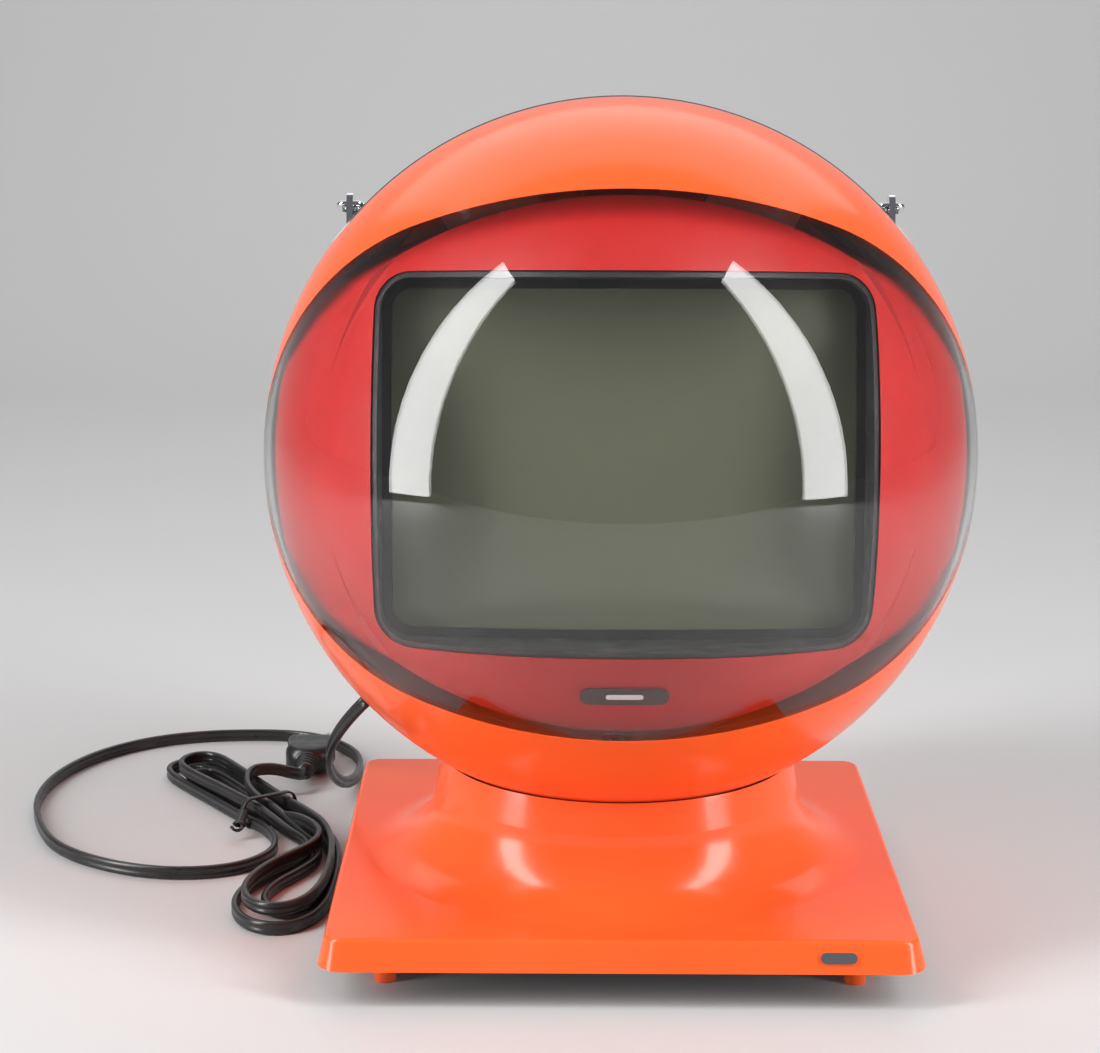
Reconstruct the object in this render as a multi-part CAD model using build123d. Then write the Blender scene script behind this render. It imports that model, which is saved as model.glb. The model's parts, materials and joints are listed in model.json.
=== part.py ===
"""Portable television: a moulded ball cabinet with a clear front visor, turning on a square pedestal.

Millimetres. The origin is on the table under the middle of the base, +Z is up, and the screen faces -Y.
The ball is drawn in its own frame, centred on the ball, then leant back by SCREEN_TILT and set on its base.
"""
from build123d import *
from math import atan, atan2, cos, degrees, hypot, pi, radians, sin, sqrt, tan
import os

# ---- driving dimensions -------------------------------------------------
BALL_R = 135.0            # outside of the cabinet
WALL = 2.8                # cabinet wall
BALL_Z = 181.3            # ball centre above the table
SCREEN_TILT = 8.0         # degrees that the ball leans back
SEAM_Y = 52.0             # plane where the front and rear shells meet

VISOR_HALF_W = 134.0      # visor outline seen from the front, an oval of four arcs
VISOR_HALF_H = 95.5
VISOR_END_R = 88.0
VISOR_T = 2.4

MASK_R = 124.0            # spherical face of the screen mask
MASK_HALF_W = 108.0       # outline of that face
MASK_HALF_H = 93.4
MASK_T = 2.5
MASK_EDGE_Y = -60.0       # where the mask's face edge turns back into its side wall
MASK_BACK_Y = -27.0
MASK_BACK_HALF_W = 128.0    # the side wall flares out to the cabinet
MASK_BACK_HALF_H = 94.0
WINDOW_W, WINDOW_H, WINDOW_Z, WINDOW_R = 176.4, 132.2, 1.0, 13.0

TUBE_W, TUBE_H, TUBE_CORNER = 180.0, 138.0, 20.0
TUBE_FACE_Y = -71.0       # middle of the tube's face
TUBE_FACE_R = 350.0
TUBE_PANEL_Y = -36.0      # back of the glass panel
TUBE_THROAT_Y = 25.0
TUBE_NECK_R = 10.0
TUBE_END_Y = 100.0

PANEL_R = 121.0           # floor of the control recess, round the ball's Y axis
PANEL_FRONT, PANEL_BACK = -25.0, 46.0
PANEL_ANGLE = 57.0        # half angle of the recess
PANEL_CORNER = 22.0

FOOT_H = 14.5
SLAB_W, SLAB_TOP_W, SLAB_T, SLAB_CORNER = 218.0, 212.0, 11.3, 10.0
RIM_Z, RIM_R, COLLAR_R = 64.2, 68.2, 70.5
FLARE_R = 26.0            # fillet between the collar and the slab
BASE_WALL = 2.5
SPINDLE_R = 6.0
RUNNING = 0.05            # radial clearance of shafts in holes

CHAIN_AXIS_Y, CHAIN_AXIS_Z, CHAIN_EYE_X = 8.0, 94.6, 103.2
CHAIN_SLOPE = 10.8        # degrees that the resting chain falls towards the back
LUG_ANGLE = 50.0          # where the chain's lugs stand on the control panel
LINK_WIRE, LINK_BEND, LINK_STRAIGHT = 1.0, 2.5, 5.0
LINK_COUNT = 43           # odd, so that both end links stand across their rings
RING_WIRE, RING_W, RING_L = 1.2, 8.4, 9.0

ANTENNA_X, ANTENNA_Y, ANTENNA_Z = 85.0, 113.0, -48.0
ANTENNA_RADII = [3.4, 2.75, 2.1, 1.45]
ANTENNA_LENGTH = 128.0

CORD_D = 5.4
GLAND_BEARING, GLAND_FALL, GLAND_L = 143.0, 43.0, 42.0

slab_z = FOOT_H + SLAB_T
slab_draft = degrees(atan((SLAB_W - SLAB_TOP_W) / 2 / SLAB_T))
SET_ON_BASE = Pos(0, 0, BALL_Z) * Rot(X=-SCREEN_TILT)


# ---- helpers ------------------------------------------------------------
def save(name, *solids):
    """Write one sub-part, made of one or more separate solids."""
    flat = [solid for item in solids for solid in item.solids()]
    shape = flat[0] if len(flat) == 1 else Compound(children=flat)
    shape.label = name
    export_step(shape, f"parts/{name}.step")


def save_in_ball(name, *shapes):
    """Write a sub-part that was drawn in the ball's frame."""
    save(name, *[SET_ON_BASE * solid for item in shapes for solid in item.solids()])


def frontal(y):
    """Drawing plane that faces the viewer, with x to the right and z up, at depth y."""
    return Plane(origin=(0, y, 0), x_dir=(1, 0, 0), z_dir=(0, -1, 0))


def prism(outline, y_front, y_back):
    """Extrude a frontal outline from y_front back to y_back."""
    return extrude(frontal(y_back) * outline, amount=y_back - y_front)


def rod(x, y0, y1, z, radius):
    """Round bar along Y."""
    return Pos(x, (y0 + y1) / 2, z) * Rot(X=90) * Cylinder(radius, y1 - y0)


def tube_along_z(outer, inner, z0, z1):
    """Round tube on the Z axis."""
    ring = Circle(outer) - Circle(inner)
    return extrude(Pos(0, 0, z0) * ring, amount=z1 - z0)


def oval(half_w, half_h, end_r):
    """Face of a four-centre oval whose ends have radius end_r."""
    top_r = (half_w**2 + half_h**2 - 2 * half_w * end_r) / (2 * (half_h - end_r))
    end_x = half_w - end_r
    top_z = top_r - half_h
    reach = hypot(end_x, top_z)
    join_x = end_x + end_r * end_x / reach
    join_z = end_r * top_z / reach
    edge = [
        ThreePointArc((-join_x, join_z), (0, half_h), (join_x, join_z)),
        ThreePointArc((join_x, join_z), (half_w, 0), (join_x, -join_z)),
        ThreePointArc((join_x, -join_z), (0, -half_h), (-join_x, -join_z)),
        ThreePointArc((-join_x, -join_z), (-half_w, 0), (-join_x, join_z)),
    ]
    return make_face(edge)


def pillow(half_w, half_h, side_r, top_r, corner):
    """Face bounded by four shallow arcs with rounded corners."""
    tall = Pos(side_r - half_w, 0) * Circle(side_r) & Pos(half_w - side_r, 0) * Circle(side_r)
    wide = Pos(0, top_r - half_h) * Circle(top_r) & Pos(0, half_h - top_r) * Circle(top_r)
    shape = tall & wide
    return fillet(shape.vertices(), corner)


def window(inset=0.0):
    """Rounded rectangle of the screen window, drawn smaller by inset on every side."""
    outline = RectangleRounded(WINDOW_W - 2 * inset, WINDOW_H - 2 * inset, WINDOW_R - inset)
    return Pos(0, WINDOW_Z) * outline


def headband(inset, r_inner, r_outer):
    """Curved block over the top of the ball, the shape of the control recess less inset."""
    half = PANEL_ANGLE - degrees(inset / PANEL_R)
    y0, y1 = PANEL_FRONT + inset, PANEL_BACK - inset
    section = Plane.YZ * Pos((y0 + y1) / 2, (r_inner + r_outer) / 2) * Rectangle(y1 - y0, r_outer - r_inner)
    block = revolve(Rot(Y=-half) * section, Axis.Y, 2 * half)
    radial = [e for e in block.edges() if e.geom_type == GeomType.LINE and abs(e.tangent_at(0.5).Y) < 0.01]
    return fillet(radial, PANEL_CORNER - inset)


def on_panel(angle, y):
    """Place on the control panel: +Z of the piece points away from the ball."""
    return Rot(Y=angle) * Pos(0, y, PANEL_R)


def on_back(x, z, radius=BALL_R):
    """Place on the back of the ball: +Z of the piece points straight out along the normal."""
    normal = Vector(x, sqrt(radius**2 - x**2 - z**2), z)
    return Location(Plane(origin=normal, x_dir=(0, -normal.Z, normal.Y), z_dir=normal))


def knob(radius, height, flutes):
    """Control knob with a fluted rim, standing on z = 0."""
    body = Cylinder(radius, height, align=(Align.CENTER, Align.CENTER, Align.MIN))
    body = fillet(body.edges().sort_by(Axis.Z)[-1], 0.8)
    groove = Pos(radius + 0.5, 0, height / 2 + 1) * Cylinder(1.1, height)
    return body - PolarLocations(0, flutes) * groove


def screw(head_r, head_h, shank_r, shank_l):
    """Cross-head screw with its seat on z = 0 and its shank pointing down."""
    head = Pos(0, 0, head_h / 2) * Cylinder(head_r, head_h)
    slot = Pos(0, 0, head_h) * (Box(head_r * 1.1, 0.8, 1.0) + Box(0.8, head_r * 1.1, 1.0))
    shank = Pos(0, 0, -shank_l / 2) * Cylinder(shank_r, shank_l)
    return head + shank - slot


def corner_radii(points):
    """Largest even bend at each inner point: 0.45 of the shorter run over the tangent of half the turn."""
    radii = []
    for a, b, c in zip(points, points[1:], points[2:]):
        run_in, run_out = Vector(*b) - Vector(*a), Vector(*c) - Vector(*b)
        half_turn = radians(run_in.get_angle(run_out)) / 2
        radii.append(0.45 * min(run_in.length, run_out.length) / tan(half_turn))
    return radii


# ---- pedestal base ------------------------------------------------------
def make_base():
    outline = RectangleRounded(SLAB_W, SLAB_W, SLAB_CORNER)
    slab = extrude(Pos(0, 0, FOOT_H) * outline, amount=SLAB_T, taper=slab_draft)
    slab = fillet(slab.edges().group_by(Axis.Z)[-1], 2.0)
    flare_x = COLLAR_R + FLARE_R
    flare_z = slab_z + FLARE_R
    outer = [
        Line((0, FOOT_H + 4), (flare_x, FOOT_H + 4)),
        Line((flare_x, FOOT_H + 4), (flare_x, slab_z)),
        RadiusArc((flare_x, slab_z), (COLLAR_R, flare_z), FLARE_R),
        Line((COLLAR_R, flare_z), (RIM_R, RIM_Z)),
        Line((RIM_R, RIM_Z), (0, RIM_Z)),
        Line((0, RIM_Z), (0, FOOT_H + 4)),
    ]
    collar = revolve(Plane.XZ * make_face(outer), Axis.Z)
    # inside: a flared hollow, then a ledge that carries the glide ring, then the socket of the ball
    ledge_low, ledge_high, ledge_r, socket_r = 50.0, 53.0, 59.5, 65.2
    inner_r = FLARE_R + 3
    drop = flare_z - ledge_low
    ledge_wall = flare_x - sqrt(inner_r**2 - drop**2)
    floor_z = flare_z - inner_r
    inner = [
        Line((0, 5), (flare_x + 3, 5)),
        Line((flare_x + 3, 5), (flare_x + 3, floor_z)),
        Line((flare_x + 3, floor_z), (flare_x, floor_z)),
        RadiusArc((flare_x, floor_z), (ledge_wall, ledge_low), inner_r),
        Line((ledge_wall, ledge_low), (ledge_r, ledge_low)),
        Line((ledge_r, ledge_low), (ledge_r, ledge_high)),
        Line((ledge_r, ledge_high), (socket_r, ledge_high)),
        Line((socket_r, ledge_high), (socket_r, RIM_Z + 5)),
        Line((socket_r, RIM_Z + 5), (0, RIM_Z + 5)),
        Line((0, RIM_Z + 5), (0, 5)),
    ]
    hollow = revolve(Plane.XZ * make_face(inner), Axis.Z)
    cavity_w = SLAB_W - 2 * BASE_WALL
    cavity_outline = RectangleRounded(cavity_w, cavity_w, SLAB_CORNER - BASE_WALL)
    cavity = extrude(Pos(0, 0, FOOT_H) * cavity_outline, amount=SLAB_T - BASE_WALL, taper=slab_draft)
    shell = slab + collar - hollow - cavity
    shell -= Pos(0, 0, BALL_Z) * Sphere(BALL_R + 0.6)
    # bosses for the bottom pan and for the spindle bracket
    pan_top = FOOT_H + 2.0
    corner_boss = Cylinder(4.0, slab_z - 2 - pan_top, align=(Align.CENTER, Align.CENTER, Align.MIN))
    corners = GridLocations(190, 190, 2, 2)
    shell += corners * (Pos(0, 0, pan_top) * corner_boss)
    shell -= corners * (Pos(0, 0, pan_top + 2) * Cylinder(1.3, 8))
    bracket_top = 36.0
    side_boss = Cylinder(5.0, ledge_low - bracket_top + 1, align=(Align.CENTER, Align.CENTER, Align.MIN))
    sides = GridLocations(120, 1, 2, 1)
    shell += sides * (Pos(0, 0, bracket_top) * side_boss)
    shell -= sides * (Pos(0, 0, bracket_top + 3) * Cylinder(1.5, 8))
    save("base_shell", shell)

    pan_w = cavity_w - 1.6
    pan = extrude(Pos(0, 0, FOOT_H) * RectangleRounded(pan_w, pan_w, 6.5), amount=2.0)
    pan -= GridLocations(60, 14, 2, 4) * (Pos(0, 0, FOOT_H) * Box(44, 4, 6))
    pan -= corners * (Pos(0, 0, FOOT_H) * Cylinder(1.8, 6))
    save("base_pan", pan)

    foot = Cylinder(4.0, FOOT_H, align=(Align.CENTER, Align.CENTER, Align.MIN))
    foot = fillet(foot.edges().sort_by(Axis.Z)[0], 0.6)
    save("base_feet", *[place * foot for place in GridLocations(172, 160, 2, 2)])

    pan_screw = Rot(X=180) * screw(3.2, 1.8, 1.25, 6.0)
    screws = [place * (Pos(0, 0, FOOT_H) * pan_screw) for place in corners]

    ring = tube_along_z(socket_r - 0.1, ledge_r + 0.5, ledge_high, RIM_Z)
    save("glide_ring", ring - Pos(0, 0, BALL_Z) * Sphere(BALL_R + 0.35))

    bracket = Pos(0, 0, bracket_top - 1.5) * (Box(134, 26, 3) & Cylinder(66, 3))
    bracket -= Pos(0, 0, bracket_top - 1.5) * Cylinder(SPINDLE_R, 4)
    bracket -= sides * (Pos(0, 0, bracket_top) * Cylinder(1.8, 8))
    save("pivot_bracket", bracket)
    bracket_screw = Rot(X=180) * screw(3.4, 2.0, 1.45, 9.0)
    screws += [place * (Pos(0, 0, bracket_top - 3) * bracket_screw) for place in sides]
    save("base_screws", *screws)

    spindle = tube_along_z(SPINDLE_R, 3.0, bracket_top - 5, 67.0)
    spindle += tube_along_z(SPINDLE_R + 4, 3.0, bracket_top - 6, bracket_top - 3)
    nut = extrude(Pos(0, 0, 57.6) * (RegularPolygon(10.5, 6) - Circle(SPINDLE_R)), amount=6.0)
    washer = tube_along_z(11.5, SPINDLE_R, 56.4, 57.6)
    save("swivel_spindle", spindle)
    save("spindle_nut", nut, washer)

    lean = Pos(76.9, -SLAB_W / 2 + 0.5 * (SLAB_W - SLAB_TOP_W) / 2, FOOT_H + SLAB_T / 2)
    badge = lean * Rot(X=90 - slab_draft) * extrude(SlotOverall(13.0, 4.0), amount=0.8)
    save("base_badge", badge)


# ---- ball cabinet -------------------------------------------------------
def make_shells():
    visor_prism = prism(oval(VISOR_HALF_W, VISOR_HALF_H, VISOR_END_R), -150, -1)
    skin = Sphere(BALL_R) - Sphere(BALL_R - WALL)
    front_half = Pos(0, SEAM_Y - 150, 0) * Box(300, 300, 300)
    spindle_hole = SET_ON_BASE.inverse() * Pos(0, 0, 50) * Cylinder(9.0, 40)
    front = skin & front_half
    front = front - visor_prism - headband(0, 110, 150) - spindle_hole
    save_in_ball("front_shell", front)

    rear = skin - Pos(0, SEAM_Y - 149.8, 0) * Box(300, 300, 300)
    slots = GridLocations(50, 7.5, 2, 11)
    vent = extrude(SlotOverall(42, 3.2), amount=200)
    rear -= [frontal(200) * Pos(-2, -22) * place * vent for place in slots]
    rear -= SET_ON_BASE.inverse() * gland_place() * Cylinder(5.2, 30)
    rear -= Pos(ANTENNA_X, 0, ANTENNA_Z) * Rot(X=90) * Pos(0, 0, -110) * Cylinder(5.2, 60)
    for x, z in HOLD_PLACES:
        rear -= on_back(x, z) * Cylinder(2.3, 20)
    rear -= on_back(*JACK_PLACE) * Cylinder(4.2, 20)
    save_in_ball("rear_shell", rear)


def make_visor():
    outline = oval(VISOR_HALF_W - 0.2, VISOR_HALF_H - 0.2, VISOR_END_R - 0.2)
    dome = Sphere(BALL_R) - Sphere(BALL_R - VISOR_T)
    save_in_ball("visor", dome & prism(outline, -150, -1))


def mask_back(inset):
    """Outline of the back edge of the mask's side wall, drawn smaller by inset."""
    return pillow(MASK_BACK_HALF_W - inset, MASK_BACK_HALF_H - inset, 150 - inset, 205 - inset, 30 - inset)


def mask_body(inset):
    """Solid behind the mask's face and side wall, drawn smaller by inset."""
    face_outline = pillow(MASK_HALF_W - inset, MASK_HALF_H - inset, 125 - inset, 165 - inset, 22 - inset)
    back_outline = mask_back(inset)
    block = prism(face_outline, -130, MASK_EDGE_Y) & Sphere(MASK_R - inset)
    skirt = loft([frontal(MASK_BACK_Y) * back_outline, frontal(MASK_EDGE_Y) * face_outline], ruled=True)
    return block + skirt


def make_mask():
    inner = mask_body(MASK_T) + prism(mask_back(MASK_T), MASK_BACK_Y - 0.2, MASK_BACK_Y + 2)
    mask = (mask_body(0) - inner) & Sphere(BALL_R - WALL - 0.3)
    mask -= prism(window(), -140, -30)
    mask -= prism(RectangleRounded(TUBE_W + 3.4, TUBE_H + 3.4, TUBE_CORNER + 1.7), -50, -37)
    save_in_ball("screen_mask", mask)

    tunnel = prism(window(0.2), -130, -48) - prism(window(2.2), -140, -40)
    tunnel = tunnel & Sphere(MASK_R - 0.8)
    glass_front = Pos(0, TUBE_FACE_Y + TUBE_FACE_R, 0)
    lip_ring = prism(window(0.2), -90, -48) - prism(window(5.6), -140, -40)
    lip = lip_ring & (glass_front * Sphere(TUBE_FACE_R + 2.0))
    surround = tunnel + lip - glass_front * Sphere(TUBE_FACE_R + 0.25)
    save_in_ball("screen_surround", surround)

    pill = Pos(0, -79.2) * SlotOverall(31.0, 6.3)
    skin = Sphere(MASK_R + 0.9) - Sphere(MASK_R + 0.02)
    save_in_ball("mask_badge", prism(pill, -130, -60) & skin)
    bar = Pos(0, -79.2) * SlotOverall(13.0, 1.9)
    inlay = Sphere(MASK_R + 1.25) - Sphere(MASK_R + 0.92)
    save_in_ball("mask_badge_inlay", prism(bar, -130, -60) & inlay)


# ---- picture tube and what is on it -------------------------------------
def bulb(inset):
    """Outer form of the glass bulb, drawn smaller by inset."""
    face_r = TUBE_FACE_R - inset
    outline = RectangleRounded(TUBE_W - 2 * inset, TUBE_H - 2 * inset, TUBE_CORNER - inset)
    panel = prism(outline, -100, TUBE_PANEL_Y) & Pos(0, TUBE_FACE_Y + TUBE_FACE_R, 0) * Sphere(face_r)
    throat = RectangleRounded(30 - 2 * inset, 30 - 2 * inset, 14.9 - inset)
    funnel = loft([frontal(TUBE_PANEL_Y) * outline, frontal(TUBE_THROAT_Y - inset) * throat], ruled=True)
    neck = rod(0, TUBE_THROAT_Y - 4, TUBE_END_Y - inset, 0, TUBE_NECK_R - inset / 2)
    return panel + funnel + neck


def make_tube():
    save_in_ball("picture_tube", bulb(0) - bulb(4.0))

    band_outline = RectangleRounded(TUBE_W + 3, TUBE_H + 3, TUBE_CORNER + 1.5)
    inner_outline = RectangleRounded(TUBE_W + 0.4, TUBE_H + 0.4, TUBE_CORNER + 0.2)
    band = prism(band_outline, -49, -38) - prism(inner_outline, -60, -30)
    ear = Box(14, 2, 9)
    for x in (-50, 50):
        for side in (-1, 1):
            band += Pos(x, -43, side * (TUBE_H / 2 + 5.2)) * ear
            band -= rod(x, -50, -36, side * (TUBE_H / 2 + 5.6), 1.8)
    save_in_ball("tube_band", band)

    yoke_profile = Polyline(
        (36.5, 12), (41, 12), (41, 17), (31, 33), (22, 33), (22, 41), (11, 41), (11, 29), (20, 28), close=True
    )
    rings = [revolve(Plane.XY * make_face(yoke_profile), Axis.Y)]
    for y in (44, 50):
        ring = rod(0, y, y + 3.5, 0, 16) + Pos(0, y + 1.75, 18) * Box(5, 3.5, 8)
        rings.append(ring - rod(0, y - 1, y + 5, 0, TUBE_NECK_R + 0.1))
    save_in_ball("deflection_yoke", *rings)
    socket = rod(0, 92, 104, 0, 15) - rod(0, 90, TUBE_END_Y + 0.1, 0, TUBE_NECK_R + 0.1)
    save_in_ball("socket_board", socket, Pos(0, 104.9, -8) * Box(56, 1.6, 52))

    slope = degrees(atan2(TUBE_H / 2 - 15, TUBE_THROAT_Y - TUBE_PANEL_Y))
    seat = Pos(0, -8, TUBE_H / 2 - (TUBE_PANEL_Y + 8) * -tan(radians(slope))) * Rot(X=-slope)
    cap = Pos(0, 0, 2.6) * Cylinder(10, 4.4) + Pos(0, 0, 6.4) * Cylinder(5, 4)
    start = (seat * Pos(0, 0, 8.7)).position
    bend = (seat * Pos(0, 0, 14)).position
    route = [tuple(start), tuple(bend), (26, 16, 50), (48, 38, 22), (50, 54, -2), (46, 57, -12.6)]
    lead = FilletPolyline(*route, radius=corner_radii(route))
    save_in_ball("anode_lead", seat * cap, sweep(Plane(lead @ 0, z_dir=lead % 0) * Circle(1.4), lead))


# ---- electronics --------------------------------------------------------
def make_chassis():
    middle_y, tray_z, board_z = 30.0, -84.0, -76.0
    tray = Pos(0, middle_y, tray_z) * Box(112, 76, 1.5)
    tray += Pos(0, middle_y - 37.2, tray_z + 8) * Box(112, 1.5, 16)
    tray -= [Pos(0, middle_y, tray_z) * place * Cylinder(4, 5) for place in GridLocations(26, 20, 4, 3)]
    pillar = Pos(0, middle_y, tray_z + 3.7) * Cylinder(2.5, 6.8)
    tray += [place * pillar for place in GridLocations(94, 58, 2, 2)]
    save_in_ball("chassis_frame", tray)
    save_in_ball("main_board", Pos(0, middle_y, board_z) * Box(104, 68, 1.6))

    top = board_z + 0.8
    capacitors = (
        (-40, 14, 6, 18), (-26, 12, 5, 14), (-12, 16, 4, 12),
        (20, 12, 6, 16), (34, 18, 4, 12), (-30, 32, 5, 16),
    )
    parts = [Pos(x, y, top + h / 2) * Cylinder(r, h) for x, y, r, h in capacitors]
    parts += [Pos(x, 34, top + 6) * Box(10, 10, 12) for x in (-14, 2, 18)]
    film_parts = ((-22, 20), (-8, 0), (6, 70), (20, 0))
    parts += [Pos(x, 52, top + 3.5) * Rot(Z=turn) * Box(9, 4, 7) for x, turn in film_parts]
    save_in_ball("board_components", *parts)
    fins = Pos(66, 22, -52) * Box(2, 44, 30)
    for k in range(5):
        fins += Pos(71.5, 4 + 9 * k, -52) * Box(9, 1.6, 30)
    save_in_ball("heat_sink", fins)

    openings = Pos(-10.5, 0, 0) * Box(9, 30, 22) + Pos(10.5, 0, 0) * Box(9, 30, 22)
    core = Pos(-36, 70, -42) * (Box(44, 20, 36) - openings)
    winding = Pos(-36, 70, -42) * (Box(28.6, 32, 21.4) - Box(12.4, 20.4, 40))
    save_in_ball("power_transformer", core, winding)
    flyback = rod(42, 50, 66, -30, 17) - rod(42, 40, 80, -30, 7)
    ferrite = Pos(42, 58, -44) * Box(12, 40, 40) - Pos(42, 58, -44) * Box(14, 27, 27)
    save_in_ball("line_output_transformer", flyback, ferrite - rod(42, 49, 67, -30, 17.2))


# ---- control recess on top ----------------------------------------------
SMALL_KNOBS = (("brightness_knob", -9.2), ("volume_knob", 0.0), ("contrast_knob", 9.2))
SMALL_KNOB_Y = -13.0
TUNER_ANGLE, TUNER_Y = 28.0, 11.0
SPEAKER_Y = 21.0
HOLD_PLACES = ((-84.0, 34.0), (-92.0, 12.0))
JACK_PLACE = (-96.0, -12.0)
TERMINAL_PLACE = (-52.0, 46.0)


def make_panel():
    tray = headband(0.3, PANEL_R - 2.5, 150) - headband(1.8, PANEL_R, 160)
    tray = tray & Sphere(BALL_R - 1.6)
    holes = [Rot(Y=angle) * Pos(0, SMALL_KNOB_Y, PANEL_R) * Cylinder(2.2, 12) for _, angle in SMALL_KNOBS]
    tuner_hole = Pos(0, TUNER_Y, PANEL_R) * Cylinder(4.2, 12)
    holes += [Rot(Y=angle) * tuner_hole for angle in (-TUNER_ANGLE, TUNER_ANGLE)]
    for column in range(-4, 5):
        half = sqrt(20.0**2 - (4.2 * column) ** 2)
        slot = extrude(SlotOverall(2 * half, 2.0, rotation=90), amount=20)
        holes.append(Rot(Y=degrees(4.2 * column / PANEL_R)) * Pos(0, SPEAKER_Y, PANEL_R - 10) * slot)
    save_in_ball("control_panel", tray - holes)
    trim = headband(2.4, PANEL_R + 0.05, 150) - headband(3.6, PANEL_R - 1, 160)
    save_in_ball("panel_trim", trim & Sphere(BALL_R + 0.2))


def make_controls():
    shaft_r = 2.0
    bodies = []
    for name, angle in SMALL_KNOBS:
        place = on_panel(angle, SMALL_KNOB_Y)
        body = Pos(0, 0, -2.5 - 5.2) * Cylinder(7.2, 9.6) - Cylinder(shaft_r + RUNNING, 40)
        bodies.append(place * body)
        turning = Pos(0, 0, 0.4) * knob(7.0, 8.4, 14) + Pos(0, 0, -4.6) * Cylinder(shaft_r, 12)
        pointer = Pos(3.6, 0, 8.6) * Box(5.0, 1.0, 0.8)
        save_in_ball(name, place * (turning - pointer))

    save_in_ball("picture_and_sound_controls", *bodies)

    vhf = on_panel(-TUNER_ANGLE, TUNER_Y)
    uhf = on_panel(TUNER_ANGLE, TUNER_Y)
    can = Box(36, 42, 34)
    vhf_can = Pos(0, 0, -4.3 - 17) * can - Pos(0, 0, -12) * Cylinder(3.0 + RUNNING, 30)
    uhf_can = Pos(0, 0, -4.3 - 14) * Box(34, 40, 28) - Pos(0, 0, -12) * Cylinder(3.0 + RUNNING, 26)
    save_in_ball("channel_tuners", vhf * vhf_can, uhf * uhf_can)
    main_knob = Pos(0, 0, 4.6) * knob(15.0, 4.8, 30) + Pos(0, 0, -2.5) * Cylinder(3.0, 15)
    grip = Pos(0, 0, 9.0) * Box(26, 3.2, 2.4)
    save_in_ball("vhf_knob", vhf * (main_knob + Pos(0, 0, -0.6) * grip))
    fine = Pos(0, 0, 0.4) * knob(18.5, 3.8, 48) - Cylinder(3.0 + RUNNING, 20)
    save_in_ball("fine_tuning_ring", vhf * fine)
    uhf_knob = Pos(0, 0, 0.4) * knob(17.0, 9.0, 34) + Pos(0, 0, -2.5) * Cylinder(3.0, 15)
    save_in_ball("uhf_knob", uhf * uhf_knob)

    middle = Pos(0, SPEAKER_Y, 0)
    basket = Pos(0, 0, 110.4) * Cylinder(25, 2) + Pos(0, 0, 104) * Cone(13, 24, 11)
    basket += Pos(0, 0, 94) * Cylinder(14, 9)
    basket -= Pos(0, 0, 106) * Cone(10, 24, 11.2)
    cone = Pos(0, 0, 106.6) * Cone(8, 22.4, 9) - Pos(0, 0, 107.6) * Cone(8, 22.4, 9)
    save_in_ball("loudspeaker", middle * basket, middle * cone)

    lugs = []
    for side in (-1, 1):
        foot = Rot(Y=side * LUG_ANGLE) * Pos(0, CHAIN_AXIS_Y, PANEL_R)
        boss = foot * (Pos(0, 0, 4.5) * Cylinder(6.0, 9.0) + Pos(0, 0, 9.5) * Cylinder(4.4, 3.0))
        tongue = Pos(side * CHAIN_EYE_X, CHAIN_AXIS_Y, CHAIN_AXIS_Z)
        plate = Rot(Y=90) * Cylinder(4.2, 2.4) + Pos(0, 0, -8) * Box(2.4, 8.4, 16)
        eye = Rot(Y=90) * Cylinder(RING_WIRE + RUNNING, 10)
        lugs.append(boss + tongue * plate - tongue * eye)
    save_in_ball("chain_lugs", *lugs)


def make_chain():
    fall = radians(CHAIN_SLOPE)
    back = Vector(0, cos(fall), -sin(fall))
    pivot = Vector(0, CHAIN_AXIS_Y, CHAIN_AXIS_Z)
    normal = Vector(1, 0, 0).cross(back)

    ring_path = RectangleRounded(RING_W, RING_L, 2.0).wire()
    ring = sweep(Plane(ring_path @ 0, z_dir=ring_path % 0) * Circle(RING_WIRE), ring_path)
    rings = []
    for side in (-1, 1):
        centre = pivot + Vector(side * CHAIN_EYE_X, 0, 0) + back * (RING_L / 2)
        rings.append(Location(Plane(origin=centre, x_dir=(1, 0, 0), z_dir=normal)) * ring)

    link_path = SlotCenterToCenter(LINK_STRAIGHT, 2 * LINK_BEND).wire()
    link = sweep(Plane(link_path @ 0, z_dir=link_path % 0) * Circle(LINK_WIRE), link_path)
    arc_r = CHAIN_EYE_X
    chain_start = RING_L - 1.4       # the end links hook round the rings' far bars
    links = []
    for k in range(LINK_COUNT):
        turn = pi * (k + 0.5) / LINK_COUNT
        at = pivot + Vector(arc_r * cos(turn), 0, 0) + back * (chain_start + arc_r * sin(turn))
        along = Vector(-sin(turn), 0, 0) + back * cos(turn)
        roll = 0 if k % 2 else 90
        place = Location(Plane(origin=at, x_dir=along, z_dir=normal)) * Rot(X=roll)
        links.append(place * link)
    save_in_ball("hanging_chain", *rings, *links)


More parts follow.
